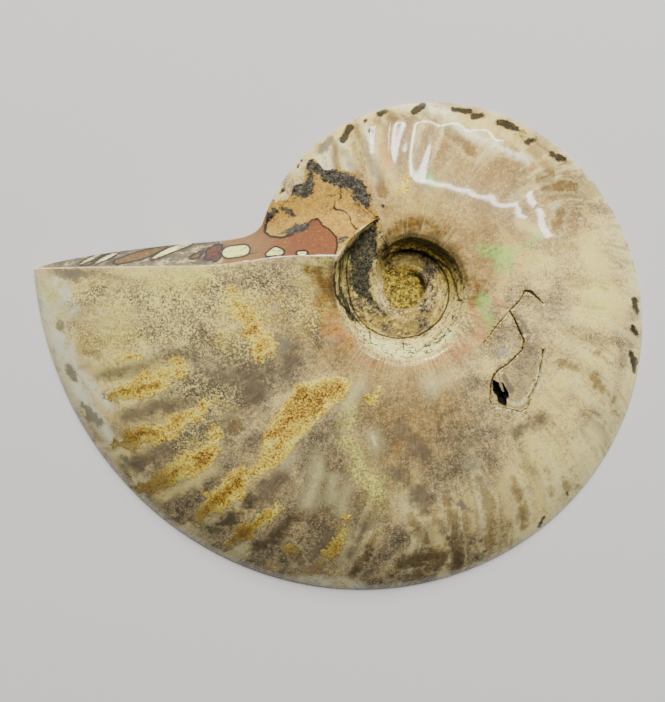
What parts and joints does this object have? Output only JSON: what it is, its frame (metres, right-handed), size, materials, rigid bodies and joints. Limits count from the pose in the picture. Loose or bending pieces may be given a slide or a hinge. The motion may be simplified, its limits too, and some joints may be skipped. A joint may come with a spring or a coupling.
{
  "type": "ammonite fossil half",
  "caption": "Polished half of a fossil ammonite, sawn flat through the plane of coiling, with a sunken spiral centre, a ground mouth and a flat underside to lie on.",
  "frame": {"origin": "on the sawn flat underside, where the coil axis meets it", "axes": "+Z out of the polished flank along the coil axis; the mouth opens towards +Y and reaches out to -X"},
  "size_m": [0.1303, 0.1045, 0.0196],
  "materials": {
    "fossil_shell": "polished mother-of-pearl shell, mottled cream, beige and grey-brown"
  },
  "bodies": {
    "root": {"ammonite_half": "fossil_shell"}
  },
  "joints": []
}
